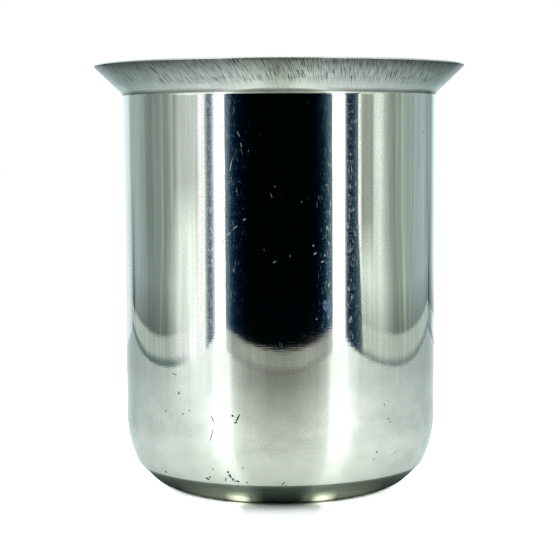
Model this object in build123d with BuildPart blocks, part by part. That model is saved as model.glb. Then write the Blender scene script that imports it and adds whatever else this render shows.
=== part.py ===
from build123d import *
import os
from math import cos, radians, sin, tan

# A deep metal bowl, drawn from one round blank of stainless sheet. It has a straight wall,
# a lip flared outwards at the top, a large rounded corner at the bottom, and an underside
# that begins at a crease, slopes in and stands on a flat ring. The base panel inside the ring
# is pressed up clear of the table.
#
# Millimetres and degrees. Z is the bowl's axis, and its foot stands on Z = 0.
# The lean of a curved stretch is how far the outside looks down: 0 on the wall, 90 at the foot.

# Driving dimensions

wall_diameter = 64.0      # outside of the straight wall
rim_diameter = 75.9       # outside of the flared lip, to the corner of its cut edge
height = 86.6             # from the foot to the top corner of that edge
sheet = 0.6               # thickness of the metal, the same all over

flare_angle = 46.0        # how far the lip leans out from the wall
neck_radius = 2.0         # outside radius of the bend between wall and lip
lip_break = 0.12          # bevel that takes the sharpness off both corners of the edge

corner_radius = 22.5      # outside radius of the polished corner
corner_lean = 26.0        # lean at which the corner meets the crease
crease_turn = 19.0        # turn from one side of the crease to the other
crease_radius = 0.3       # inside radius of the crease
slope_length = 3.4        # straight slope from the crease to the bend into the foot

foot_diameter = 42.4      # outside of the flat ring that the bowl stands on
foot_width = 3.0          # width of that ring
base_rise = 0.6           # how far the panel inside the ring is pressed up from the foot
step_slope = 40.0         # slope of the step round that panel

# Sizes that follow from them

wall_radius = wall_diameter / 2
rim_radius = rim_diameter / 2
foot_radius = foot_diameter / 2
crease_outside = crease_radius + sheet
underside_lean = corner_lean + crease_turn


def at_lean(centre, radius, lean):
    """The point of an arc about the centre where the outside has this lean."""
    return (centre[0] + radius * cos(radians(lean)), centre[1] - radius * sin(radians(lean)))


def centre_behind(point, radius, lean):
    """The centre of an arc that passes through the point with this lean."""
    return at_lean(point, -radius, lean)


# The insets of the corner and of the crease give the radius at which the slope begins, and the
# bend below the slope takes up what is left of the way to the foot.
corner_inset = corner_radius * (1 - cos(radians(corner_lean)))
crease_inset = crease_outside * (cos(radians(corner_lean)) - cos(radians(underside_lean)))
slope_radius = wall_radius - corner_inset - crease_inset
slope_inset = slope_length * sin(radians(underside_lean))
underside_radius = (slope_radius - slope_inset - foot_radius) / cos(radians(underside_lean))

# From the foot up, the slope, the crease and the corner follow one another tangentially.
underside_centre = (foot_radius, underside_radius)
slope_bottom = at_lean(underside_centre, underside_radius, underside_lean)
crease_bottom = (slope_radius, slope_bottom[1] + slope_length * cos(radians(underside_lean)))
crease_centre = centre_behind(crease_bottom, crease_outside, underside_lean)
crease_top = at_lean(crease_centre, crease_outside, corner_lean)
corner_centre = centre_behind(crease_top, corner_radius, corner_lean)

# Inside the foot ring the base steps up to its panel.
foot_inside = foot_radius - foot_width
panel_radius = foot_inside - base_rise / tan(radians(step_slope))

# The cut edge is square to the sheet, so its inner corner is the highest point of the lip.
lip_corner = (rim_radius, height - sheet * sin(radians(flare_angle)))
neck_corner = lip_corner[1] - (rim_radius - wall_radius) / tan(radians(flare_angle))
neck_centre = (wall_radius + neck_radius, neck_corner - neck_radius * tan(radians(flare_angle / 2)))


def sheet_face(depth):
    """Draw the face of the sheet that lies this deep under its outside, from the axis to the lip."""
    shift = depth * tan(radians(step_slope / 2))
    panel_centre = (0, base_rise + depth)
    panel_edge = (panel_radius + shift, base_rise + depth)
    step_foot = (foot_inside + shift, depth)
    Polyline(panel_centre, panel_edge, step_foot, (foot_radius, depth))
    underside = CenterArc(underside_centre, underside_radius - depth, 270, 90 - underside_lean)
    crease = CenterArc(crease_centre, crease_outside - depth, -underside_lean, crease_turn)
    corner = CenterArc(corner_centre, corner_radius - depth, -corner_lean, corner_lean)
    neck = CenterArc(neck_centre, neck_radius + depth, 180, -flare_angle)
    Line(underside @ 1, crease @ 0)
    Line(corner @ 1, neck @ 0)
    lip = Line(neck @ 1, at_lean(lip_corner, -depth, flare_angle))
    return panel_centre, lip @ 1


with BuildPart() as bowl:
    with BuildSketch(Plane.XZ) as section:
        with BuildLine():
            outside_start, outside_end = sheet_face(0)
            inside_start, inside_end = sheet_face(sheet)
            Line(outside_start, inside_start)
            Line(outside_end, inside_end)
        make_face()
        chamfer(section.vertices().sort_by(Axis.Y)[-2:], length=lip_break)
    revolve(axis=Axis.Z)

bowl.part.label = "bowl"

os.makedirs("parts", exist_ok=True)
export_step(bowl.part, "parts/bowl.step")
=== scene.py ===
# %% [markdown]
# # A deep bowl, drawn in one piece from stainless steel
#
# The real bowl starts as a flat round blank. A press draws it down into a straight-sided
# vessel, turns its lip outwards and sets its foot, and the lip is then trimmed. So the whole
# object is one sheet of even thickness, and only its finish changes from place to place:
# a mirror-polished wall, a ground lip, a bare cut edge, an unpolished underside and a finely
# turned inside.
#
# The CAD solid of the bowl is loaded first. It is the frame that the rest must fit.

# %% Load the frame
from math import cos, pi, radians, sin, tan

import bmesh
import bpy
from mathutils import Euler, Matrix, Vector


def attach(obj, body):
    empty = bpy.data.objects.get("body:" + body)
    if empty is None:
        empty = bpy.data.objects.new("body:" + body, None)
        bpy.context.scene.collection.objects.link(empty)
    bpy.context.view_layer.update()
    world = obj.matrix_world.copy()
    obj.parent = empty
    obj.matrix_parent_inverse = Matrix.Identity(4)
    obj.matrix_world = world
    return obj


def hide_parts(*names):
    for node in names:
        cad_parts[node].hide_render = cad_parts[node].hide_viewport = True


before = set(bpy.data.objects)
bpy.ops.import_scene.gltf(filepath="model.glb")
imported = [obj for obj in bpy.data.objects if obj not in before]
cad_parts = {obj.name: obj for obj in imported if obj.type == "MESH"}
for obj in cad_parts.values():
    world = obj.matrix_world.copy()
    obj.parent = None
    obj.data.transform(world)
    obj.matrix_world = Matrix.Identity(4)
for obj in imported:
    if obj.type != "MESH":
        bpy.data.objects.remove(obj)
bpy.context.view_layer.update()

# %% [markdown]
# ## Units and small helpers
#
# Blender works in metres here and the bowl is described in millimetres, so one constant
# turns one into the other. Operators act on whatever is selected, so two helpers see to it
# that nothing else is, and that faces are chosen by where they are and which way they look.

# %% Millimetres, and what is selected
MM = 0.001


def only(piece):
    """Make this object the only one that is selected, and the active one."""
    bpy.ops.object.select_all(action="DESELECT")
    piece.select_set(True)
    bpy.context.view_layer.objects.active = piece


def pick_faces(piece, chosen):
    """Open the mesh for editing with only the faces selected whose middle and normal are chosen."""
    only(piece)
    bpy.ops.object.mode_set(mode="EDIT")
    bpy.ops.mesh.select_mode(type="FACE")
    bpy.ops.mesh.select_all(action="DESELECT")
    bpy.ops.object.mode_set(mode="OBJECT")
    for face in piece.data.polygons:
        face.select = chosen(face.center / MM, face.normal)
    bpy.ops.object.mode_set(mode="EDIT")


# %% [markdown]
# ## The section, in millimetres
#
# A drawn vessel is designed as a section: the line that its outside follows from the middle
# of the base to the lip. The same driving sizes as in the CAD source give that line here.
# Leans are in degrees, 0 on the wall and 90 at the foot.

# %% Sizes of the section
wall_radius = 32.0
rim_radius = 37.95
height = 86.6
sheet = 0.6

flare_angle = 46.0
neck_radius = 2.0

corner_radius = 22.5
corner_lean = 26.0
crease_turn = 19.0
crease_radius = 0.9
slope_length = 3.4

foot_radius = 21.2
foot_inside = 18.2
base_rise = 0.6
step_slope = 40.0


def at_lean(centre, radius, lean):
    """The point of a bend about the centre where the outside has this lean."""
    return (centre[0] + radius * cos(radians(lean)), centre[1] - radius * sin(radians(lean)))


def centre_behind(point, radius, lean):
    """The centre of a bend that passes through the point with this lean."""
    return at_lean(point, -radius, lean)


# %% Centres of the bends
underside_lean = corner_lean + crease_turn
corner_inset = corner_radius * (1 - cos(radians(corner_lean)))
crease_inset = crease_radius * (cos(radians(corner_lean)) - cos(radians(underside_lean)))
slope_radius = wall_radius - corner_inset - crease_inset
slope_inset = slope_length * sin(radians(underside_lean))
underside_radius = (slope_radius - slope_inset - foot_radius) / cos(radians(underside_lean))

underside_centre = (foot_radius, underside_radius)
slope_bottom = at_lean(underside_centre, underside_radius, underside_lean)
crease_bottom = (slope_radius, slope_bottom[1] + slope_length * cos(radians(underside_lean)))
crease_centre = centre_behind(crease_bottom, crease_radius, underside_lean)
crease_top = at_lean(crease_centre, crease_radius, corner_lean)
corner_centre = centre_behind(crease_top, corner_radius, corner_lean)

lip_corner = (rim_radius, height - sheet * sin(radians(flare_angle)))
neck_corner = lip_corner[1] - (rim_radius - wall_radius) / tan(radians(flare_angle))
neck_bottom = neck_corner - neck_radius * tan(radians(flare_angle / 2))
neck_centre = (wall_radius + neck_radius, neck_bottom)
print("crease at radius", round(crease_top[0], 2), "and height", round(crease_top[1], 2))
print("wall from", round(corner_centre[1], 2), "to", round(neck_bottom, 2))

# %% [markdown]
# ## Drawing the section with a vertex
#
# The line could be typed in as points, but a press tool is made of straights and true bends,
# and Blender has an operator for each: extruding one vertex draws a straight, and spinning it
# about the centre of a bend draws an arc. So a plane is merged to a single vertex, and that
# vertex is the pen. It is always the only thing selected, so each step starts where the last
# one ended.

# %% The pen
bpy.ops.object.select_all(action="DESELECT")
bpy.ops.mesh.primitive_plane_add(size=MM, location=(0, 0, base_rise * MM))
bowl = bpy.context.object
bowl.name = "drawn_bowl"
bpy.ops.object.transform_apply(location=True, rotation=False, scale=False)
bpy.ops.object.mode_set(mode="EDIT")
bpy.ops.mesh.select_mode(type="VERT")
bpy.ops.mesh.select_all(action="SELECT")
bpy.ops.mesh.merge(type="CENTER")


def pen():
    """Where the pen stands: its radius and height in millimetres."""
    mesh = bmesh.from_edit_mesh(bowl.data)
    tip = [v.co for v in mesh.verts if v.select][-1]
    return tip.x / MM, tip.z / MM


def straight(radius, up, runs=1):
    """Extrude the pen to this radius and height, in equal runs."""
    here = pen()
    step = ((radius - here[0]) / runs * MM, 0, (up - here[1]) / runs * MM)
    for _ in range(runs):
        bpy.ops.mesh.extrude_region_move(TRANSFORM_OT_translate={"value": step})


def bend(centre, turn, runs):
    """Spin the pen about the centre of a bend, anticlockwise as seen from the front."""
    middle = (centre[0] * MM, 0, centre[1] * MM)
    bpy.ops.mesh.spin(steps=runs, angle=radians(turn), center=middle, axis=(0, 1, 0))


# %% From the middle of the base to the crease
straight(foot_inside - base_rise / tan(radians(step_slope)), base_rise, runs=6)
straight(foot_inside, 0)
straight(foot_radius, 0, runs=2)
bend(underside_centre, 90 - underside_lean, runs=16)
straight(*crease_bottom, runs=3)
bend(crease_centre, crease_turn, runs=5)
print("pen at the crease:", [round(c, 2) for c in pen()])

# %% Up the wall and out to the lip
bend(corner_centre, corner_lean, runs=16)
straight(wall_radius, neck_bottom, runs=40)
bend(neck_centre, -flare_angle, runs=10)
straight(*lip_corner, runs=8)
print("pen at the lip:", [round(c, 2) for c in pen()], "wanted", [round(c, 2) for c in lip_corner])

# %% [markdown]
# ## One turn of the section
#
# The press tools are round, so the surface is the section spun once round the axis. The spin
# leaves the two ends of the turn on top of each other, and a fan of vertices on the axis:
# merging by distance closes both. Only then are the normals made to agree, because Solidify
# needs to know which side is the outside. The skin is still open, so the operator can settle
# on the wrong side: the wall's normals are measured, and turned round if they look inwards.

# %% Spin the section round
# In mm: how near two vertices count as one, and the heights where the wall's normals are read.
ROUND_STEPS = 288
WELD = 0.001
WALL_HEIGHTS = (20, 70)

bpy.ops.mesh.select_all(action="SELECT")
bpy.ops.mesh.spin(steps=ROUND_STEPS, angle=2 * pi, center=(0, 0, 0), axis=(0, 0, 1))
bpy.ops.mesh.select_all(action="SELECT")
bpy.ops.mesh.remove_doubles(threshold=WELD * MM)
bpy.ops.mesh.normals_make_consistent(inside=False)
bpy.ops.object.mode_set(mode="OBJECT")


def outwards(point):
    """The level direction from the axis to this point."""
    return Vector((point.x, point.y, 0)).normalized()


wall_faces = [f for f in bowl.data.polygons if WALL_HEIGHTS[0] < f.center.z / MM < WALL_HEIGHTS[1]]
looks_out = sum(f.normal.dot(outwards(f.center)) for f in wall_faces) / len(wall_faces)
print("faces:", len(bowl.data.polygons), "mean outward normal:", round(looks_out, 3))
if looks_out < 0:
    bpy.ops.object.mode_set(mode="EDIT")
    bpy.ops.mesh.select_all(action="SELECT")
    bpy.ops.mesh.flip_normals()
    bpy.ops.object.mode_set(mode="OBJECT")

# %% [markdown]
# ## The thickness of the sheet
#
# Solidify gives the skin its thickness inwards, so the outside keeps the drawn section. The
# two corners of the cut edge are then rounded with a bevel of two segments, as deburring and
# use leave them, and far enough for the edge to stay inside the CAD solid's box. They are the
# only edges sharper than 60 degrees, and that is how they are found.

# %% Give the skin its thickness
# Edges are sharp from one angle and smooth below the other, in degrees. The rounding is in mm.
SHARP_FROM = 60
LIP_ROUNDING = 0.24
SMOOTH_BELOW = 32

only(bowl)
thickness = bowl.modifiers.new("sheet", "SOLIDIFY")
thickness.thickness = sheet * MM
thickness.offset = -1
thickness.use_even_offset = True
bpy.ops.object.modifier_apply(modifier=thickness.name)

bpy.ops.object.mode_set(mode="EDIT")
bpy.ops.mesh.select_mode(type="EDGE")
bpy.ops.mesh.select_all(action="DESELECT")
bpy.ops.mesh.edges_select_sharp(sharpness=radians(SHARP_FROM))
bpy.ops.mesh.bevel(offset=LIP_ROUNDING * MM, segments=2, affect="EDGES")
bpy.ops.object.mode_set(mode="OBJECT")
only(bowl)
bpy.ops.object.shade_smooth_by_angle(angle=radians(SMOOTH_BELOW))

# %% [markdown]
# ## Colours and nodes
#
# Colours are written as they are read off a photograph, as sRGB hex values. Shaders add and
# multiply light, which only works on linear values, so one function converts them. Another
# adds a node with its settings and its links in one line, and a node can stand as the input
# of the next, so a material reads from top to bottom. The kinds and settings that come up
# most have a short name. A Map Range node takes the value, the range it comes from and the
# range it goes to, and never goes past its ends.

# %% Colour and node helpers
MATH, VECTOR = "ShaderNodeMath", "ShaderNodeVectorMath"
RANGE, MIX, RAMP = "ShaderNodeMapRange", "ShaderNodeMix", "ShaderNodeValToRGB"
TIMES = {"operation": "MULTIPLY"}
LESS = {"operation": "SUBTRACT"}
OVER = {"operation": "DIVIDE"}
LEAST = {"operation": "MINIMUM"}
MOST = {"operation": "MAXIMUM"}
UNSIGNED = {"operation": "ABSOLUTE"}
ANGLE = {"operation": "ARCTAN2"}
LENGTH = {"operation": "LENGTH"}
SCALE = {"operation": "SCALE"}
COLOUR = {"data_type": "RGBA"}
TEXTURE = {"vector_type": "TEXTURE"}


def linear(hex_colour):
    """The linear red, green, blue and alpha of an sRGB hex colour."""
    parts = [int(hex_colour[i:i + 2], 16) / 255 for i in (1, 3, 5)]
    return tuple(c / 12.92 if c < 0.04045 else ((c + 0.055) / 1.055) ** 2.4 for c in parts) + (1.0,)


def lay_stops(elements, stops):
    """Give a colour ramp these stops: pairs of a place from 0 to 1 and a linear colour."""
    while len(elements) < len(stops):
        elements.new(1.0)
    for element, (place, colour) in zip(elements, stops):
        element.position = place
        element.color = colour


def add(tree, kind, settings=None, *values, **named):
    """Add a node, and fill its inputs in their order or by name, with _ for a space.

    The stops of a ramp are among its settings, and inputs that the settings switch off are
    passed over. A value is a number, a colour, the output of a node, or a node, which stands
    for the first of its outputs.
    """
    node = tree.nodes.new(kind)
    for name, value in (settings or {}).items():
        if name == "stops":
            lay_stops(node.color_ramp.elements, value)
        else:
            setattr(node, name, value)
    filled = list(zip([entry for entry in node.inputs if entry.enabled], values))
    filled += [(node.inputs[name.replace("_", " ")], value) for name, value in named.items()]
    for entry, value in filled:
        if isinstance(value, bpy.types.Node):
            value = next(output for output in value.outputs if output.enabled)
        if isinstance(value, bpy.types.NodeSocket):
            tree.links.new(value, entry)
        else:
            entry.default_value = value
    return node


def new_material(name):
    """A material with an empty node tree."""
    material = bpy.data.materials.new(name)
    material.use_nodes = True
    material.node_tree.nodes.clear()
    return material


# %% [markdown]
# ## Masks that work together
#
# Most patterns are masks from 0 to 1. Where several have to hold at once they are multiplied,
# and a stretch between two soft flanks is one rising range times one falling range.

# %% Products and stretches


def product(tree, *factors):
    """Three or more values multiplied together."""
    so_far = factors[0]
    for factor in factors[1:]:
        so_far = add(tree, MATH, TIMES, so_far, factor)
    return so_far


def between(tree, value, rise, fall):
    """1 between two soft flanks and 0 outside them. Each flank is a pair: from, to."""
    rising = add(tree, RANGE, None, value, *rise, 0.0, 1.0)
    falling = add(tree, RANGE, None, value, *fall, 1.0, 0.0)
    return add(tree, MATH, TIMES, rising, falling)


# %% [markdown]
# ## Round the bowl and up it
#
# Everything on this bowl runs either round it or up it: polishing lines, grinding marks,
# scratches. Object coordinates give x, y and z, so the angle round the axis is worked out
# from x and y and multiplied by the wall's radius. The result is a flat map of the outside in
# millimetres, with 0 at the front, on which each pattern is laid. The radius is carried along
# as the third coordinate, and a pattern is stretched so far that way that it doesn't change.

# %% The map of the outside
NO_CHANGE = 1000.0


def around_and_up(tree):
    """A vector in mm: the way round from the front, the height, and the radius."""
    place = add(tree, "ShaderNodeTexCoord").outputs["Object"]
    in_mm = add(tree, VECTOR, SCALE, place, 1 / MM)
    x, y, z = add(tree, "ShaderNodeSeparateXYZ", None, in_mm).outputs
    angle = add(tree, MATH, ANGLE, x, add(tree, MATH, TIMES, y, -1.0))
    way_round = add(tree, MATH, TIMES, angle, wall_radius)
    radius = add(tree, VECTOR, LENGTH, add(tree, "ShaderNodeCombineXYZ", None, x, y, 0.0))
    return add(tree, "ShaderNodeCombineXYZ", None, way_round, z, radius)


def streaks(tree, way, wide, tall, slant=0.0, detail=2.0):
    """Noise drawn out to grains this many mm wide and tall on the map. 0 to 1, near 0.5."""
    turned = add(tree, "ShaderNodeMapping", TEXTURE, way, Rotation=(0, 0, radians(slant)),
                 Scale=(wide, tall, NO_CHANGE))
    return add(tree, "ShaderNodeTexNoise", Vector=turned, Scale=1.0, Detail=detail)


# %% [markdown]
# ## Marks on the wall
#
# The bowl has been used. Pits and specks of dirt show dark where the wall reflects the pale
# floor, and fine scratches show light where it reflects a dark room. Each mark is a thin
# ellipse on the map: a Mapping node moves it to its place, turns and stretches it, and the
# distance from its middle is 1 on its rim. The least of these distances tells how near any
# mark is. Larger ellipses say where a bluish smudge lies and where rubbing has left the finest
# scratches close together.

# %% Where the marks are
# Degrees round from the front, height, length, width in mm, and slant from level in degrees.
PITS = [
    (-14.8, 18.4, 2.3, 0.36, 63), (-15.6, 17.5, 0.9, 0.34, 15), (-16.7, 18.8, 0.6, 0.5, 0),
    (-24, 17.9, 2.0, 0.26, 115), (-24.4, 15.0, 4.2, 0.2, 74), (-28.2, 5.8, 1.3, 0.5, 150),
    (-27, 6.2, 0.7, 0.4, 40), (-18.7, 6.8, 1.2, 0.55, 120), (-17.8, 6.1, 0.9, 0.45, 50),
    (-20.7, 6.0, 1.1, 0.3, 70), (-19.3, 7.6, 0.6, 0.5, 0), (-16.6, 5.8, 1.4, 0.3, 10),
    (-15.8, 5.7, 0.7, 0.4, 20), (-49.3, 5.8, 0.7, 0.6, 0), (-25.2, 8.0, 0.4, 0.35, 0),
    (-13.4, 8.7, 0.4, 0.35, 0), (0.8, 5.5, 1.2, 0.25, 50), (-12.5, 5.6, 0.9, 0.2, 40),
    (-44.5, 18.5, 0.4, 0.4, 0), (-36.2, 18.4, 0.5, 0.35, 0), (-33.4, 19.2, 0.4, 0.3, 0),
    (-40, 26.0, 1.7, 0.2, 167), (-38, 22.4, 0.9, 0.4, 60), (39, 19.9, 0.4, 0.3, 0),
    (41, 17.0, 0.5, 0.4, 0), (42, 16.3, 0.5, 0.3, 0), (36.2, 10.7, 0.5, 0.4, 0),
    (35.3, 9.3, 0.4, 0.3, 0), (62.5, 72.7, 0.5, 0.4, 0), (44.8, 9.8, 3.2, 0.12, 32),
]
SCRATCHES = [
    (-13.9, 72.3, 1.6, 0.14, 117), (-13, 70.3, 1.2, 0.14, 107), (-16.7, 66.4, 2.4, 0.13, 77),
    (-17.6, 53.5, 1.2, 0.16, 38), (-15.2, 54.8, 1.4, 0.16, 32), (-12, 56.3, 1.1, 0.15, 36),
    (-2.8, 60.8, 1.3, 0.16, 110), (-1.6, 62.5, 0.4, 0.25, 0), (-1.8, 48.3, 0.9, 0.18, 40),
    (7.4, 59.6, 0.3, 0.25, 0), (11.4, 51.3, 0.5, 0.3, 40), (12.0, 49.8, 0.8, 0.26, 35),
    (14.5, 48.2, 0.6, 0.35, 20), (15.4, 49.4, 0.5, 0.25, 60), (16.2, 54.6, 0.9, 0.2, 75),
    (16.9, 66.5, 0.6, 0.2, 80), (16.1, 62.7, 0.4, 0.2, 70), (16.9, 43.8, 1.3, 0.2, 70),
    (25, 37.3, 1.0, 0.2, 90), (-23.9, 54.2, 1.5, 0.22, 112), (-23.6, 48.5, 0.9, 0.3, 60),
    (-23.2, 47.4, 0.7, 0.2, 20),
]
SMUDGE = [(16.6, 39.8, 2.6, 2.4, 20), (15.4, 40.4, 1.4, 1.0, 100), (17.4, 38.4, 1.6, 0.9, 80)]
RUBBED = [
    (-18.5, 73.3, 7.0, 2.8, 82), (16.6, 48.0, 44.0, 1.5, 89), (-19.2, 52.0, 44.0, 1.5, 91),
    (-24.3, 48.0, 50.0, 1.5, 90), (25.0, 48.0, 60.0, 2.2, 90),
]
RIM_OF_MARK = (0.6, 1.0)


def near_marks(tree, way, marks):
    """1 on any of the marks and 0 away from them, with a soft rim."""
    nearest = None
    for degrees_round, up, length, width, slant in marks:
        middle = (radians(degrees_round) * wall_radius, up, 0)
        moved = add(tree, "ShaderNodeMapping", TEXTURE, way, middle, (0, 0, radians(slant)),
                    (length / 2, width / 2, NO_CHANGE))
        reach = add(tree, VECTOR, LENGTH, moved)
        nearest = reach if nearest is None else add(tree, MATH, LEAST, nearest, reach)
    return add(tree, RANGE, None, nearest, *RIM_OF_MARK, 1.0, 0.0)


# %% [markdown]
# ## Scattered specks
#
# Besides the marks that can be pointed at there are tiny ones everywhere. A Voronoi node
# divides the map into cells and gives each cell a colour of its own at random: one channel
# decides whether the cell has a speck at all, another how large it is.

# %% Specks
SPECK_RIM = (0.3, 0.55)


def specks(tree, way, cell, length, width, slant, kept):
    """Dashes up to this long and wide, in this share of cells that are this many mm across."""
    turned = add(tree, "ShaderNodeMapping", TEXTURE, way, Rotation=(0, 0, radians(slant)),
                 Scale=(cell * length / width, cell, NO_CHANGE))
    cells = add(tree, "ShaderNodeTexVoronoi", {"voronoi_dimensions": "2D"}, Vector=turned, Scale=1.0)
    chance = add(tree, "ShaderNodeSeparateColor", None, cells.outputs["Color"])
    has_one = add(tree, MATH, {"operation": "LESS_THAN"}, chance.outputs[0], kept)
    size = add(tree, RANGE, None, chance.outputs[1], 0.0, 1.0, 0.4, 1.0)
    reach = add(tree, MATH, OVER, cells.outputs["Distance"], size)
    solid, gone = SPECK_RIM[0] * width / cell, SPECK_RIM[1] * width / cell
    dash = add(tree, RANGE, None, reach, solid, gone, 1.0, 0.0)
    return add(tree, MATH, TIMES, dash, has_one)


# %% [markdown]
# ## Mirror-polished stainless
#
# The wall was buffed until it reflects like a mirror. Stainless steel gives back about six
# tenths of the light with a faintly green-grey cast, so its colour is that, and nearly all of
# its look comes from what stands round it. The colour is a little uneven: clouded low down,
# and streaked up the wall, the way the metal was drawn. Drawing also leaves slow waves, and
# buffing leaves very fine lines round the bowl, which make straight reflections waver.
#
# A mirror that has been wiped for years also carries hair scratches. They run up the wall, and
# each spreads light sideways, at right angles to itself. An anisotropic gloss whose tangent
# runs round the axis does that, and a mask mixes this haze in along the hairs, faintly along
# the buffing lines, and under the smudge, which is bluish and dabbed.

# %% Sizes and colours of the polish
# Depths are in mm. Below 0, the haze spreads light along its tangent.
STEEL = "#C6CFC4"
STEEL_PALER, STEEL_DUSKIER = "#CAD3C8", "#BAC4B9"
DIRT = "#20201C"
HAZE_TINT, FILM = "#9DBDD4", "#8CC3E0"
HAZE_TINT_SHARE = 0.3

WAVE_DEPTH = 0.02
BUFFING_DEPTH = 0.0009
MARK_ROUGHNESS = 0.5
SPREAD_ALONG = -0.75


# %% Colour, roughness and relief of the wall


def wall_colour(tree, way, pits):
    """Steel that is clouded low down, streaked higher up and grained all over, with its dirt."""
    up = add(tree, "ShaderNodeSeparateXYZ", None, way).outputs["Y"]
    low_down = add(tree, RANGE, None, up, 16.0, 30.0, 1.0, 0.0)
    clouded = add(tree, RANGE, None, streaks(tree, way, 4.5, 3.2, detail=5.0), 0.4, 0.7, 0.0, 1.0)
    drawn = add(tree, RANGE, None, streaks(tree, way, 1.3, 26.0, detail=4.0), 0.35, 0.65, 0.0, 1.0)
    uneven = add(tree, MIX, None, low_down, drawn, clouded)
    steel = add(tree, MIX, COLOUR, uneven, linear(STEEL_PALER), linear(STEEL_DUSKIER))
    grain = add(tree, RANGE, None, streaks(tree, way, 0.5, 0.3), 0.3, 0.7, 0.92, 1.08)
    grained = add(tree, VECTOR, SCALE, steel, grain)
    return add(tree, MIX, COLOUR, pits, grained, linear(DIRT))


def wall_roughness(tree, way, pits):
    """Nearly none, slightly more in faint clouds and buffing lines, and rough in the marks."""
    clouds = add(tree, RANGE, None, streaks(tree, way, 9.0, 6.0), 0.3, 0.8, 0.02, 0.045)
    buffing = add(tree, RANGE, None, streaks(tree, way, 40.0, 0.35), 0.3, 0.7, 0.85, 1.2)
    tiny = specks(tree, way, cell=1.1, length=0.5, width=0.16, slant=75, kept=0.03)
    cut = add(tree, MATH, MOST, tiny, near_marks(tree, way, SCRATCHES))
    worn = add(tree, MATH, MOST, pits, cut)
    clean = add(tree, MATH, TIMES, clouds, buffing)
    return add(tree, MIX, None, worn, clean, MARK_ROUGHNESS)


def wall_relief(tree, way):
    """Slow waves from the drawing, and buffing lines on them."""
    waves = add(tree, "ShaderNodeBump", Strength=1.0, Distance=WAVE_DEPTH * MM,
                Height=streaks(tree, way, 14.0, 9.0, detail=1.0))
    return add(tree, "ShaderNodeBump", Strength=1.0, Distance=BUFFING_DEPTH * MM,
               Height=streaks(tree, way, 3.0, 0.25), Normal=waves)


# %% Haze and smudge


def hair_scratches(tree, way):
    """A mask of hair scratches up the wall, in patches and close together where it was rubbed."""
    patches = add(tree, RANGE, None, streaks(tree, way, 4.0, 7.0), 0.35, 0.65, 0.2, 0.8)
    worked = add(tree, MATH, MOST, patches, near_marks(tree, way, RUBBED))
    hair = add(tree, RANGE, None, streaks(tree, way, 0.2, 1.5, slant=6.0), 0.58, 0.68, 0.0, 1.0)
    return add(tree, MATH, TIMES, hair, worked)


def wall_haze(tree, way, colour, relief):
    """The share of the haze in the wall's shader, and the haze itself."""
    dabs = add(tree, RANGE, None, streaks(tree, way, 0.3, 0.3), 0.38, 0.55, 0.25, 1.0)
    smudge = add(tree, MATH, TIMES, near_marks(tree, way, SMUDGE), dabs)
    tinted = add(tree, MIX, COLOUR, HAZE_TINT_SHARE, colour, linear(HAZE_TINT))
    filmed = add(tree, MIX, COLOUR, smudge, tinted, linear(FILM))
    hairs = hair_scratches(tree, way)
    wide_of_hair = add(tree, RANGE, None, hairs, 0.0, 0.6, 0.1, 0.17)
    wide_of_film = add(tree, RANGE, None, smudge, 0.0, 1.0, 0.1, 0.4)
    haze = add(tree, "ShaderNodeBsdfAnisotropic", {"distribution": "BECKMANN"}, Color=filmed,
               Anisotropy=SPREAD_ALONG, Roughness=add(tree, MATH, MOST, wide_of_hair, wide_of_film),
               Normal=relief,
               Tangent=add(tree, "ShaderNodeTangent", {"direction_type": "RADIAL", "axis": "Z"}))
    buffed = add(tree, RANGE, None, streaks(tree, way, 2.5, 0.18, detail=3.0), 0.49, 0.66, 0.0, 0.45)
    of_film = add(tree, RANGE, None, smudge, 0.0, 1.0, 0.0, 0.65)
    share = add(tree, MATH, MOST, add(tree, MATH, MOST, buffed, hairs), of_film)
    return share, haze


# %% Polished wall


def polished_steel():
    """The mirror of the wall and the haze over it."""
    material = new_material("mirror_polished_stainless")
    tree = material.node_tree
    way = around_and_up(tree)
    pits = near_marks(tree, way, PITS)
    colour = wall_colour(tree, way, pits)
    relief = wall_relief(tree, way)
    mirror = add(tree, "ShaderNodeBsdfPrincipled", Base_Color=colour, Metallic=1.0,
                 Roughness=wall_roughness(tree, way, pits), Normal=relief)
    share, haze = wall_haze(tree, way, colour, relief)
    wall = add(tree, "ShaderNodeMixShader", None, share, mirror, haze)
    add(tree, "ShaderNodeOutputMaterial", None, wall)
    return material


# %% [markdown]
# ## Radially ground lip
#
# The flare is left from a grinding wheel that crossed it at a slant from the neck to the
# edge. Its scores are about as wide as a fine abrasive grain and some 2 mm long, and they
# come and go in broader patches. They spread the light, so the lip is satin, and the pale
# and dark stretches of the room pass into each other on it. The neck was hardly touched and
# is less rough. Its colour is raised just past the bend as a painted highlight, lowered in the
# turn where it leaves the wall as a painted shade, and darker towards the edge.

# %% Ground flare
SCORE_WIDE, SCORE_LONG, SCORE_SLANT = 0.15, 2.2, 22.0
SCORE_DEPTH = 0.012
GROUND, SCORED = "#A8B1AA", "#4C5550"
GRAZING_TINT = "#C8D0CC"


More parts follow.
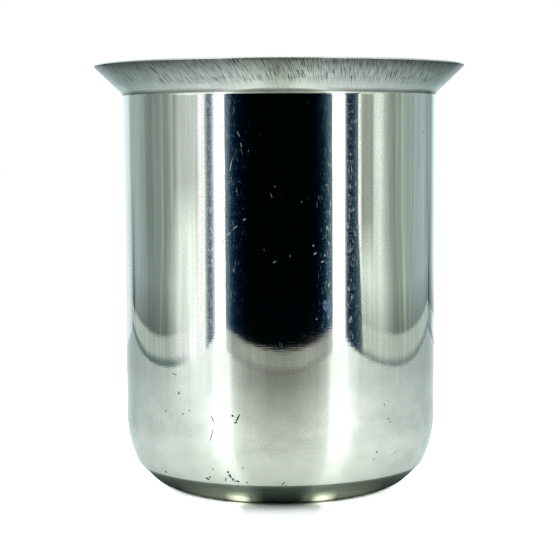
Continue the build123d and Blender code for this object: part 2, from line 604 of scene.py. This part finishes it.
def ground_steel():
    """The scored and satin metal of the flare."""
    material = new_material("radially_ground_stainless")
    tree = material.node_tree
    way = around_and_up(tree)
    radius = add(tree, "ShaderNodeSeparateXYZ", None, way).outputs["Z"]
    scores = streaks(tree, way, SCORE_WIDE, SCORE_LONG, slant=SCORE_SLANT, detail=1.0)
    patches = streaks(tree, way, 2.2, 3.0, slant=SCORE_SLANT, detail=3.0)
    rings = streaks(tree, way, 6.0, 0.22)

    grooves = add(tree, RANGE, None, scores, 0.52, 0.6, 0.0, 1.0)
    pressed = add(tree, RANGE, None, patches, 0.35, 0.6, 0.45, 1.0)
    past_neck = add(tree, RANGE, None, radius, wall_radius + 1.2, wall_radius + 2.4, 0.1, 1.0)
    shade = add(tree, MIX, COLOUR, product(tree, grooves, pressed, past_neck),
                linear(GROUND), linear(SCORED))

    # Darker towards the edge. Past the neck's bend the colour is raised as a painted highlight, and
    # in the turn off the wall it is lowered as a painted shade.
    to_edge = add(tree, RANGE, None, radius, rim_radius - 3.0, rim_radius - 0.2, 1.0, 0.27)
    neck_painted_highlight = add(tree, RANGE, None, radius, wall_radius + 1.0, wall_radius + 2.4, 1.3, 1.0)
    turn_painted_shade = add(tree, RANGE, None, radius, wall_radius + 0.2, wall_radius + 0.6, 0.35, 1.0)
    crests = add(tree, RANGE, None, scores, 0.32, 0.48, 1.14, 1.0)
    ringed = add(tree, RANGE, None, rings, 0.3, 0.7, 0.9, 1.1)
    colour = add(tree, VECTOR, SCALE, shade,
                 product(tree, to_edge, neck_painted_highlight, turn_painted_shade, crests, ringed))

    relief = add(tree, "ShaderNodeBump", Strength=1.0, Distance=SCORE_DEPTH * MM, Height=scores)
    satin = add(tree, RANGE, None, radius, wall_radius + 0.6, wall_radius + 2.6, 0.13, 0.22)
    shader = add(tree, "ShaderNodeBsdfPrincipled", Base_Color=colour, Metallic=1.0, Roughness=satin,
                 Specular_Tint=linear(GRAZING_TINT), Normal=relief)
    add(tree, "ShaderNodeOutputMaterial", None, shader)
    return material


# %% [markdown]
# ## Sheared edge, unpolished underside and turned inside
#
# The rim is as the trimming shears left it: a bright bare line. The underside below the
# crease was never buffed, so it keeps the dull grey of the rolled sheet. The inside has fine
# lines round it from the cloth that finished it.

# %% The other three finishes
BARE = "#F2F4F0"
ROLLED, ROLLED_PALER = "#A0B1A6", "#B3C5B9"
TURNING_DEPTH = 0.004


def sheared_steel():
    """The bare metal of the cut edge, torn a little across."""
    material = new_material("sheared_stainless_edge")
    tree = material.node_tree
    tears = streaks(tree, around_and_up(tree), 0.3, 3.0)
    shader = add(tree, "ShaderNodeBsdfPrincipled", Base_Color=linear(BARE), Metallic=1.0,
                 Roughness=add(tree, RANGE, None, tears, 0.3, 0.7, 0.2, 0.4))
    add(tree, "ShaderNodeOutputMaterial", None, shader)
    return material


def rolled_steel():
    """The dull grey sheet of the underside."""
    material = new_material("rolled_stainless")
    tree = material.node_tree
    grain = streaks(tree, around_and_up(tree), 6.0, 0.5, detail=3.0)
    shade = add(tree, MIX, COLOUR, add(tree, RANGE, None, grain, 0.3, 0.7, 0.0, 1.0),
                linear(ROLLED), linear(ROLLED_PALER))
    shader = add(tree, "ShaderNodeBsdfPrincipled", Base_Color=shade, Metallic=1.0,
                 Roughness=add(tree, RANGE, None, grain, 0.3, 0.7, 0.1, 0.16))
    add(tree, "ShaderNodeOutputMaterial", None, shader)
    return material


def turned_steel():
    """The fine lines round the inside."""
    material = new_material("finely_turned_stainless")
    tree = material.node_tree
    lines = streaks(tree, around_and_up(tree), 30.0, 0.25, detail=3.0)
    relief = add(tree, "ShaderNodeBump", Strength=1.0, Distance=TURNING_DEPTH * MM, Height=lines)
    shader = add(tree, "ShaderNodeBsdfPrincipled", Base_Color=linear(STEEL), Metallic=1.0,
                 Roughness=add(tree, RANGE, None, lines, 0.3, 0.7, 0.12, 0.22), Normal=relief)
    add(tree, "ShaderNodeOutputMaterial", None, shader)
    return material


# %% [markdown]
# ## Each finish in its place
#
# The whole bowl takes the polished wall's material first. The other finishes are then given
# to the faces where the press, the shears or the grinding wheel left them. The order matters:
# the cut edge comes last, because its faces also count as flare or inside.

# %% Where each finish lies
# Heights in mm, and how far a normal points the way that is asked for.
GRINDING_FROM = neck_bottom + 0.62
BASE_BELOW = 20
EDGE_ABOVE = 85
LOOKS_IN = -0.2
LOOKS_THAT_WAY = 0.5


def on_inside(middle, normal):
    """Whether the face looks to the axis, or up from the base."""
    on_base = middle.z < BASE_BELOW and normal.z > LOOKS_THAT_WAY
    return on_base or normal.dot(outwards(middle)) < LOOKS_IN


def on_flare(middle, normal):
    """Whether the face is on the outside above the neck."""
    return middle.z > GRINDING_FROM and not on_inside(middle, normal)


def on_underside(middle, normal):
    """Whether the face is on the outside below the crease."""
    return middle.z < crease_bottom[1] and not on_inside(middle, normal)


def on_cut_edge(middle, normal):
    """Whether the face looks the way that the lip points."""
    level, up = sin(radians(flare_angle)), cos(radians(flare_angle))
    way_out = outwards(middle) * level + Vector((0, 0, up))
    return middle.z > EDGE_ABOVE and normal.dot(way_out) > LOOKS_THAT_WAY


# %% Assign the finishes
bowl.data.materials.clear()
bowl.data.materials.append(polished_steel())
FINISHES = [
    (turned_steel(), on_inside),
    (ground_steel(), on_flare),
    (rolled_steel(), on_underside),
    (sheared_steel(), on_cut_edge),
]
for number, (finish, chosen) in enumerate(FINISHES, start=1):
    bowl.data.materials.append(finish)
    pick_faces(bowl, chosen)
    bowl.active_material_index = number
    bpy.ops.object.material_slot_assign()
    bpy.ops.object.mode_set(mode="OBJECT")
    print(finish.name, "on", sum(f.material_index == number for f in bowl.data.polygons), "faces")

# %% [markdown]
# ## The bowl in its frame
#
# The piece stands for the CAD node of the same shape and rides on the object's one body.

# %% Ride on the frame
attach(bowl, "root")
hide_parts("bowl")
print("triangles:", sum(len(f.vertices) - 2 for f in bowl.data.polygons))

# %% [markdown]
# ## A light tent to reflect
#
# A mirror shows its room, so the room is part of the picture. The bowl stands in a square
# tent of pale cloth that is open at the front between two posts, where a dark room shows
# behind. Each side is an upright card that the camera can't see and that casts no shadow. Its
# tones are written as the steel shows them, and divided by what the steel gives back. A card
# could be lit by lamps, but one that glows keeps its tones whatever else is in the scene.
#
# Cloth isn't even. It hangs in soft folds, it is darker in some stretches, it has painted
# shade near a corner, and near the floor its hem is painted dark, as shade where it meets
# the floor, with a fold over it. These things give the bowl the dark and pale lines that curve
# round it near its lower corner.

# %% Tones as the steel shows them
# In mm: the way from the bowl's axis to each wall of the tent, and the height of the walls.
TENT = 217.0
TENT_HEIGHT = 500.0
CARD_STRENGTH = 2.2


def shown(tone):
    """What a card has to glow with for the steel to show this tone."""
    light = [part / steel / CARD_STRENGTH for part, steel in zip(linear(tone)[:3], linear(STEEL))]
    return light + [1.0]


def card_stops(tones):
    """Places along a card, in any unit from its start to its end, made shares of its length."""
    first, last = tones[0][0], tones[-1][0]
    return [((place - first) / (last - first), shown(tone)) for place, tone in tones]


# %% How the cloth is lit
# Heights over the floor in mm, each from and to: the hem's painted shade, the fold over it and
# the shade of the fold, and the painted shade near a corner. CORNER_SHADE_SIDE is the way from
# the corner to either side, and FLANK is half the length of a shaded stretch's soft ends.
HEM_TOP = (1.4, 3.6)
FOLD_TOP = (9.0, 10.5)
SHADE_FOOT, SHADE_TOP = (9.5, 10.5), (11.0, 26.0)
CORNER_SHADE_FOOT, CORNER_SHADE_TOP = (6.0, 10.0), (20.0, 60.0)
CORNER_SHADE_SIDE = (5.0, 12.0)
FLANK = 4.0


def cloth_light(tree, along, up, rearward, shaded, corner):
    """How brightly the cloth is lit. shaded: where it starts and ends, how bright, above what."""
    on_cloth = add(tree, "ShaderNodeCombineXYZ", None, along, up)
    folds = streaks(tree, on_cloth, 13.0, 160.0, slant=2.0)
    over_fold = add(tree, MATH, TIMES, rearward, between(tree, up, SHADE_FOOT, SHADE_TOP))
    factors = [add(tree, RANGE, None, folds, 0.3, 0.7, 0.86, 1.14),
               add(tree, RANGE, None, over_fold, 0.0, 1.0, 1.0, 0.6)]
    if shaded is not None:
        start, end, level, foot = shaded
        rise, fall = [(place + TENT - FLANK, place + TENT + FLANK) for place in (start, end)]
        within = add(tree, MATH, TIMES, between(tree, along, rise, fall),
                     add(tree, RANGE, None, up, *foot, 0.0, 1.0))
        factors.append(add(tree, RANGE, None, within, 0.0, 1.0, 1.0, level))
    if corner is not None:
        # Painted shade near a corner, where the cloth's light falls off.
        off_corner = add(tree, MATH, UNSIGNED, add(tree, MATH, LESS, along, corner + TENT))
        corner_shade = product(tree, add(tree, RANGE, None, off_corner, *CORNER_SHADE_SIDE, 1.0, 0.0),
                      add(tree, RANGE, None, up, *CORNER_SHADE_TOP, 0.85, 0.0),
                      add(tree, RANGE, None, up, *CORNER_SHADE_FOOT, 0.0, 1.0))
        factors.append(add(tree, RANGE, None, corner_shade, 0.0, 1.0, 1.0, 0.0))
    return product(tree, *factors)


# %% A wall's lower end
# Behind its hinge a side wall hangs loose, and below this height in mm it swings back. The
# swing and the fold over the hem come in over the next two lengths.
LOOSE_BELOW = 45.0
SWING_OVER = 40.0
FOLD_OVER = 20.0
# HEM_SHADE is the tone of the painted shade where the cloth meets the floor.
FOLD_TONE_BEHIND, HEM_SHADE = "#B0BBAE", "#4E6362"


def swung(tree, along, up, hinge, swing):
    """The share of the way along a wall, with the part behind the hinge swung back by the floor."""
    loose = add(tree, RANGE, None, along, hinge + TENT, hinge + TENT + SWING_OVER, 0.0, swing)
    below = add(tree, RANGE, None, up, 0.0, LOOSE_BELOW, LOOSE_BELOW, 0.0)
    moved = add(tree, MATH, LESS, along, add(tree, MATH, TIMES, loose, below))
    return add(tree, MATH, OVER, moved, 2 * TENT)


def folded(tree, along, up, rearward, colour, fold_from, fold_tone):
    """The colour with the fold over the hem laid on it."""
    start = fold_from + TENT
    fold = add(tree, MATH, TIMES, add(tree, RANGE, None, up, *FOLD_TOP, 0.8, 0.0),
               add(tree, RANGE, None, along, start, start + FOLD_OVER, 0.0, 1.0))
    pale = add(tree, MIX, COLOUR, rearward, shown(fold_tone), shown(FOLD_TONE_BEHIND))
    return add(tree, MIX, COLOUR, fold, colour, pale)


# %% Cards


def upright_card(name, start, end):
    """A card on the floor from one point to another, which shows in reflections alone."""
    bpy.ops.object.select_all(action="DESELECT")
    bpy.ops.mesh.primitive_plane_add(size=1)
    card = bpy.context.object
    card.name = name
    run = Vector((end[0] - start[0], end[1] - start[1], 0))
    card.scale = (run.length * MM, TENT_HEIGHT * MM, 1)
    card.rotation_euler = (pi / 2, 0, run.to_2d().angle_signed(Vector((1, 0))))
    middle = (Vector(start) + Vector(end)) / 2
    card.location = (middle[0] * MM, middle[1] * MM, TENT_HEIGHT / 2 * MM)
    for rays in ("camera", "diffuse", "shadow", "transmission", "volume_scatter"):
        setattr(card, "visible_" + rays, False)
    return card


def plain_card(name, start, end, tones, glow=1.0):
    """A card with its tones along it."""
    card = upright_card(name, start, end)
    material = new_material(name + "_cloth")
    tree = material.node_tree
    along = add(tree, "ShaderNodeSeparateXYZ", None, add(tree, "ShaderNodeTexCoord").outputs["UV"])
    colour = add(tree, RAMP, {"stops": card_stops(tones)}, along)
    light = add(tree, "ShaderNodeEmission", Color=colour, Strength=CARD_STRENGTH * glow)
    add(tree, "ShaderNodeOutputMaterial", None, light)
    card.data.materials.append(material)
    return card


def cloth_wall(name, start, end, tones, hem, behind=(-110, -40), shaded=None, corner=None,
               hinge=None, swing=0.0, fold_from=None, fold_tone=None):
    """A wall of cloth. Places are in mm from its middle, and behind is where its hem begins."""
    card = upright_card(name, start, end)
    material = new_material(name + "_cloth")
    tree = material.node_tree
    place = add(tree, "ShaderNodeTexCoord").outputs["UV"]
    share, share_up, _ = add(tree, "ShaderNodeSeparateXYZ", None, place).outputs
    along = add(tree, MATH, TIMES, share, 2 * TENT)
    up = add(tree, MATH, TIMES, share_up, TENT_HEIGHT)
    rearward = add(tree, RANGE, None, along, TENT + behind[0], TENT + behind[1], 0.0, 1.0)
    if hinge is not None:
        share = swung(tree, along, up, hinge, swing)
    colour = add(tree, RAMP, {"stops": card_stops(tones)}, share)
    if fold_from is not None:
        colour = folded(tree, along, up, rearward, colour, fold_from, fold_tone)
    # The hem is painted dark, as shade where the cloth meets the floor.
    hem_shading = add(tree, MATH, TIMES, add(tree, RANGE, None, up, *HEM_TOP, hem, 0.0), rearward)
    colour = add(tree, MIX, COLOUR, hem_shading, colour, shown(HEM_SHADE))
    lit = cloth_light(tree, along, up, rearward, shaded, corner)
    light = add(tree, "ShaderNodeEmission", Color=colour,
                Strength=add(tree, MATH, TIMES, lit, CARD_STRENGTH))
    add(tree, "ShaderNodeOutputMaterial", None, light)
    card.data.materials.append(material)
    return card


# %% [markdown]
# ## The walls of the tent
#
# Places are in mm from a wall's middle. A side wall runs from the front to the back, and the
# back wall from left to right. In the bowl the front end of a side wall shows next to the dark
# opening, and its rear end and the back wall show in the last few millimetres at the bowl's
# edge, so the tones are written closest together where the bowl shows them largest.

# %% Tent walls
LEFT_TONES = [
    (-217, "#FFFFFF"), (-207, "#B4BEBE"), (-198, "#5F727A"), (-184, "#566B75"), (-172, "#A7B6AF"),
    (-166, "#FFFFF9"), (-142, "#FFFFF9"), (-134, "#F4FBF1"), (-75, "#E9F3E6"), (-56, "#B8C4B8"),
    (-32, "#8C9890"), (-13, "#7E8B82"), (-8, "#9CA899"), (-3, "#7E8B82"), (5, "#7B887F"),
    (50, "#78857E"), (105, "#97A6A0"), (217, "#97A6A0"),
]
RIGHT_TONES = [
    (-217, "#FFFFFF"), (-210, "#8C9A9E"), (-204, "#364E57"), (-192, "#0C2233"), (-176, "#142C3C"),
    (-166, "#364B53"), (-154, "#566868"), (-150, "#FDFFF6"), (-144, "#F4FAEC"), (-138, "#DCE9D6"),
    (-70, "#DDE8DA"), (-50, "#AEBBAC"), (-28, "#869387"), (-13, "#869387"), (-8, "#9FAC9D"),
    (-3, "#869388"), (8, "#88968C"), (14, "#B0BCAC"), (21, "#8E9C93"), (36, "#98A8A0"),
    (150, "#9EADA8"), (217, "#7C8C8C"),
]
BACK_TONES = [
    (-217, "#A5B4B0"), (-210, "#ABBBB7"), (-200, "#B8CAC5"), (-189, "#C3D7D2"), (-173, "#C8DCD7"),
    (-152, "#CADDD8"), (-95, "#CEE1DC"), (60, "#D0E2DD"), (105, "#CADDD7"), (128, "#C2D5CF"),
    (150, "#A0B5B0"), (168, "#889C97"), (185, "#7E928D"), (200, "#8C9E98"), (217, "#8C9A98"),
]
left_wall = cloth_wall(
    "tent_left", (-TENT, -TENT), (-TENT, TENT), LEFT_TONES, hem=0.9,
    shaded=(-141, -50, 0.62, (42, 58)), corner=186, hinge=-172, swing=0.38, fold_from=-172,
    fold_tone="#FFFFFF")
right_wall = cloth_wall(
    "tent_right", (TENT, -TENT), (TENT, TENT), RIGHT_TONES, hem=0.65, behind=(-160, -130),
    shaded=(-139, -94, 0.42, (28, 46)), hinge=-187, swing=0.45, fold_from=-145,
    fold_tone="#C0CAC0")
back_wall = cloth_wall("tent_back", (-TENT, TENT), (TENT, TENT), BACK_TONES, hem=0.5, corner=200)

# %% [markdown]
# ## The open front
#
# The dark room stands a little way in front of the tent, so that its edges show past the
# posts. It is the one card that diffuse rays see too, because a real dark room also keeps
# light off the floor.

# %% Front posts and dark opening
OPENING_OUT = 272.0
OPENING_HALF = 250
POST_GLOW = 1.3
OPENING_TONES = [
    (-250, "#8FA3AB"), (-200, "#5B7079"), (-180, "#18303F"), (-168, "#051C30"), (-155, "#021020"),
    (-135, "#000610"), (-110, "#000304"), (105, "#000304"), (125, "#000409"), (138, "#010A15"),
    (150, "#031522"), (163, "#0E2632"), (177, "#304A54"), (250, "#8FA3AB"),
]
front_posts = [
    plain_card("post_left", (-TENT, -TENT), (-164, -TENT),
               [(0.0, "#FFFFFF"), (0.95, "#FFFFFF"), (1.0, "#D8E0E2")], glow=POST_GLOW),
    plain_card("post_right", (156, -TENT), (TENT, -TENT),
               [(0.0, "#C8D4D8"), (0.05, "#FFFFFF"), (1.0, "#FFFFFF")], glow=POST_GLOW),
]
opening = plain_card("dark_opening", (-OPENING_HALF, -OPENING_OUT), (OPENING_HALF, -OPENING_OUT),
                     OPENING_TONES)
opening.visible_diffuse = True

# %% [markdown]
# ## The floor that the steel reflects
#
# The floor is plain and white, and so is the sky, which lights everything evenly at strength
# 1. The tent's cloth throws light on a real floor and the dark room doesn't, so the floor that
# the bowl's lower part reflects is brighter and darker by turn, in bands that fan out from
# under the bowl. They are written by the turn from the front, with a faint cast of colour, and
# fade into a plain grey close to the bowl. A few masks then dim or brighten stretches of it:
# the floor straight ahead, the floor past the tent's sill with a dark line on it, and the
# shadow under the bowl.

# %% Where on the floor
FLOOR_ACROSS = 6000.0

bpy.ops.object.select_all(action="DESELECT")
bpy.ops.mesh.primitive_plane_add(size=FLOOR_ACROSS * MM)
floor = bpy.context.object
floor.name = "floor"
floor_cloth = new_material("white_cloth_floor")
tree = floor_cloth.node_tree
place = add(tree, "ShaderNodeTexCoord").outputs["Object"]
on_floor = add(tree, VECTOR, SCALE, place, 1 / MM)
x, y, _ = add(tree, "ShaderNodeSeparateXYZ", None, on_floor).outputs
away = add(tree, VECTOR, LENGTH, on_floor)


def turn_from_front(meeting):
    """Degrees round to either side from the front, as seen from this y on the axis."""
    angle = add(tree, MATH, ANGLE, x, add(tree, MATH, LESS, meeting, y))
    return add(tree, MATH, TIMES, add(tree, MATH, UNSIGNED, angle), 180 / pi)


# %% Bands and casts
# Degrees round from the front, and how bright or of what cast the floor is there.
BANDS_MEET = -18.0
BANDS = [
    (0, 0.5), (12, 0.5), (27, 0.57), (34, 0.78), (38.5, 1.35), (48, 1.4), (53, 1.0), (58, 0.82),
    (68, 0.68), (80, 0.58), (100, 0.48), (118, 0.44), (130, 0.4), (144, 0.46), (158, 0.62),
    (180, 0.68),
]
BRIGHTEST = max(level for _, level in BANDS)
CASTS = [(10, "#FFFCF6"), (34, "#FFFCFD"), (105, "#FCFCFE"), (135, "#EBF5F8")]

turn = turn_from_front(BANDS_MEET)
half_turn = add(tree, MATH, TIMES, turn, 1 / 180)
greys = [(at / 180, [level / BRIGHTEST] * 3 + [1.0]) for at, level in BANDS]
banded = add(tree, RAMP, {"stops": greys}, half_turn)
tones = [(at / 180, linear(tone)) for at, tone in CASTS]
cast = add(tree, RAMP, {"stops": tones}, half_turn)
close_by = add(tree, RANGE, None, turn, 85.0, 108.0, 0.4, 0.33)
fans_out = add(tree, RANGE, None, away, 36.0, 120.0, 0.25, 1.0)
bands = add(tree, MIX, COLOUR, fans_out, close_by, banded)
tinted = add(tree, VECTOR, TIMES, bands, cast)

# %% Dimmer and brighter stretches
# The line lies this far out from the tent's front, and is this far from middle to side.
LINE_OUT = 7.0
LINE_HALF = 6.0

at_front = add(tree, RANGE, None, turn, 22.0, 36.0, 1.0, 0.0)
far_off = add(tree, MATH, TIMES, at_front, add(tree, RANGE, None, away, 110.0, 215.0, 0.0, 1.0))
midway = add(tree, MATH, TIMES, at_front, between(tree, away, (42.0, 60.0), (90.0, 125.0)))
to_sides = add(tree, MATH, TIMES, add(tree, RANGE, None, turn, 30.0, 60.0, 0.0, 1.0),
               between(tree, away, (55.0, 85.0), (110.0, 150.0)))
pale = product(tree, add(tree, RANGE, None, x, -60.0, -40.0, 1.0, 0.0),
               between(tree, turn, (52.0, 60.0), (76.0, 90.0)),
               add(tree, RANGE, None, away, 125.0, 210.0, 0.0, 1.0))
sill = add(tree, RANGE, None, turn, 20.0, 34.0, 1.45, 0.6)
past_sill = add(tree, RANGE, None, y, -TENT - 1, -TENT + 1, 1.0, 0.0)
in_line = add(tree, MATH, {"operation": "COMPARE"}, y, -TENT - LINE_OUT, LINE_HALF)
line = add(tree, MATH, TIMES, in_line, at_front)

# In turn: all round, far ahead, midway ahead, to the sides, one pale stretch at the left,
# past the sill, on the line, and the two steps of the shadow under the bowl.
levels = [
    add(tree, RANGE, None, away, 40.0, 200.0, 4.4, 2.55),
    add(tree, RANGE, None, far_off, 0.0, 1.0, 1.0, 0.62),
    add(tree, RANGE, None, midway, 0.0, 1.0, 1.0, 0.86),
    add(tree, RANGE, None, to_sides, 0.0, 1.0, 1.0, 0.9),
    add(tree, RANGE, None, pale, 0.0, 1.0, 1.0, 1.4),
    add(tree, MIX, None, past_sill, 1.0, sill),
    add(tree, RANGE, None, line, 0.0, 1.0, 1.0, 0.55),
    add(tree, RANGE, None, away, 28.0, 31.5, 0.2, 1.0),
    add(tree, RANGE, None, away, 22.0, 27.5, 0.2, 1.0),
]
reflected = add(tree, VECTOR, SCALE, tinted, product(tree, *levels))

# %% [markdown]
# ## The floor that the camera sees
#
# A camera set to show white cloth as white makes the floor clip, so for camera rays alone the
# floor's colour is raised, but less right in front of the foot's middle, so that the shadow
# under the bowl stays. The underside shows two gleams, one at either side of the front, where
# light falls in on the floor right by the foot. The floor glows there for reflections alone:
# a small core with a wide halo.

# %% Shader of the floor
# Between the two distances from the middle, in mm, the camera's floor is raised from one level
# to the other.
FLOOR_GREY = (0.9, 0.9, 0.9, 1.0)
SHADOW_SIDE = (7.0, 14.0)
RAISED = (1.9, 8.0)
GLEAM_COLOUR = "#FFF6E0"
GLEAM_CORE, GLEAM_HALO = 2.0, 0.4

ray = add(tree, "ShaderNodeLightPath")
under_light = add(tree, MIX, COLOUR, ray.outputs["Is Glossy Ray"], FLOOR_GREY, reflected)
aside = add(tree, MATH, UNSIGNED, x)
raised = add(tree, RANGE, None, aside, *SHADOW_SIDE, *RAISED)
white = add(tree, "ShaderNodeCombineXYZ", None, raised, raised, raised)
seen = add(tree, MIX, COLOUR, ray.outputs["Is Camera Ray"], under_light, white)
cloth = add(tree, "ShaderNodeBsdfDiffuse", Color=seen)

round_foot = turn_from_front(0.0)
core = add(tree, MATH, TIMES, between(tree, round_foot, (14.0, 18.5), (20.0, 27.0)),
           between(tree, away, (22.8, 24.2), (25.6, 27.2)))
halo = product(tree, between(tree, round_foot, (8.0, 16.0), (22.0, 56.0)),
               add(tree, RANGE, None, away, 23.0, 25.0, 0.0, 1.0),
               add(tree, RANGE, None, away, 26.0, 28.5, 1.0, 0.3))
gleam = add(tree, MATH, {"operation": "MULTIPLY_ADD"}, core, GLEAM_CORE,
            add(tree, MATH, TIMES, halo, GLEAM_HALO))
light = add(tree, "ShaderNodeEmission", Color=linear(GLEAM_COLOUR),
            Strength=add(tree, MATH, TIMES, gleam, ray.outputs["Is Glossy Ray"]))
add(tree, "ShaderNodeOutputMaterial", None, add(tree, "ShaderNodeAddShader", None, cloth, light))
floor.data.materials.append(floor_cloth)

# %% Sky
world = bpy.data.worlds.new("white_sky")
bpy.context.scene.world = world
world.use_nodes = True
world.node_tree.nodes.clear()
sky = add(world.node_tree, "ShaderNodeBackground", Color=(1.0, 1.0, 1.0, 1.0), Strength=1.0)
add(world.node_tree, "ShaderNodeOutputWorld", None, sky)

# %% [markdown]
# ## Camera
#
# The photograph's viewpoint was worked out from the bowl's outline: how much wider the rim
# looks than the foot gives the distance, and how round the lip and the crease look gives the
# height. The bowl stands a quarter of a degree out of upright in it, so the camera is rolled.

# %% Camera
# In mm and degrees, but the focal length is in pixels of a picture 560 pixels wide.
CAMERA_BACK = 344.0
CAMERA_UP = 71.8
LOOKS_DOWN = 4.93
ROLL = -0.257
FOCAL_PIXELS = 1661.0
IMAGE_PIXELS = 560.0
SENSOR = 36.0

lens = bpy.data.cameras.new("studio_camera")
lens.sensor_width = SENSOR
lens.lens = FOCAL_PIXELS / IMAGE_PIXELS * SENSOR
camera = bpy.data.objects.new("studio_camera", lens)
bpy.context.collection.objects.link(camera)
upright = Euler((radians(90 - LOOKS_DOWN), 0, 0)).to_matrix()
camera.matrix_world = (upright @ Matrix.Rotation(radians(ROLL), 3, "Z")).to_4x4()
camera.location = (0, -CAMERA_BACK * MM, CAMERA_UP * MM)
bpy.context.scene.camera = camera
bpy.context.scene.view_settings.view_transform = "Standard"
print("lens:", round(lens.lens, 1), "mm")
